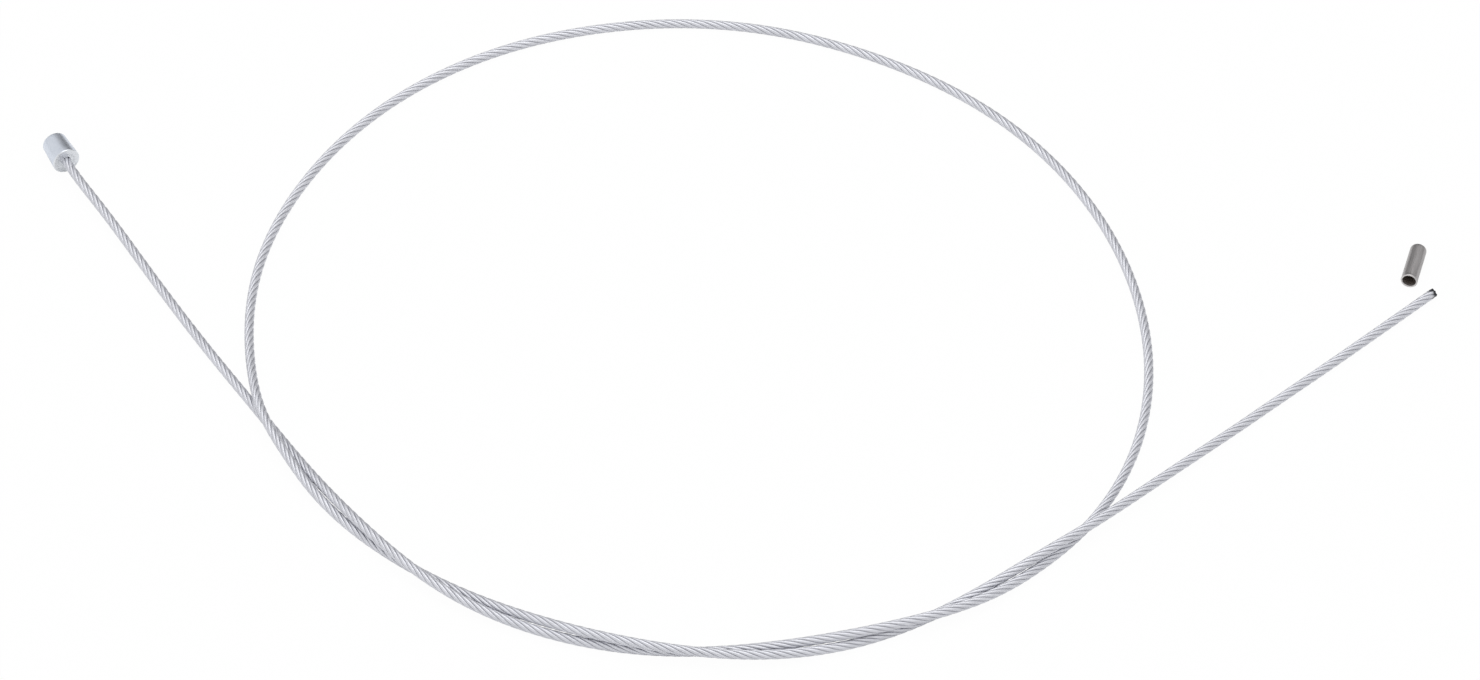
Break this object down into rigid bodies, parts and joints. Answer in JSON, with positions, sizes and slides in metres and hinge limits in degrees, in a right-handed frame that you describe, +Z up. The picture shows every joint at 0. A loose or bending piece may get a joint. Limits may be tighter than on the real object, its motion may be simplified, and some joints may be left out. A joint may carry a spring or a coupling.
{
  "type": "bowden cable",
  "caption": "Bicycle control cable inner: a steel wire rope in an open loop, with a cast cylindrical nipple on one end and its end sleeve pulled off beside the cut end.",
  "frame": {"origin": "middle of the outline seen from above, on the surface that the cable lies on", "axes": "+Z up from that surface, +X from the nipple's side of the loop to the cut end's side, +Y away from the twisted stretch"},
  "size_m": [0.2397, 0.1537, 0.0049],
  "materials": {
    "galvanised_steel": "galvanised steel wire, drawn and stranded, satin",
    "zinc_casting": "die-cast zinc alloy, matt, with a rough dish round the wire",
    "nickel_plate": "drawn brass cap, nickel plated, satin"
  },
  "bodies": {
    "root": {"inner_wire": "galvanised_steel", "nipple": "zinc_casting", "end_sleeve": "nickel_plate"}
  },
  "joints": []
}
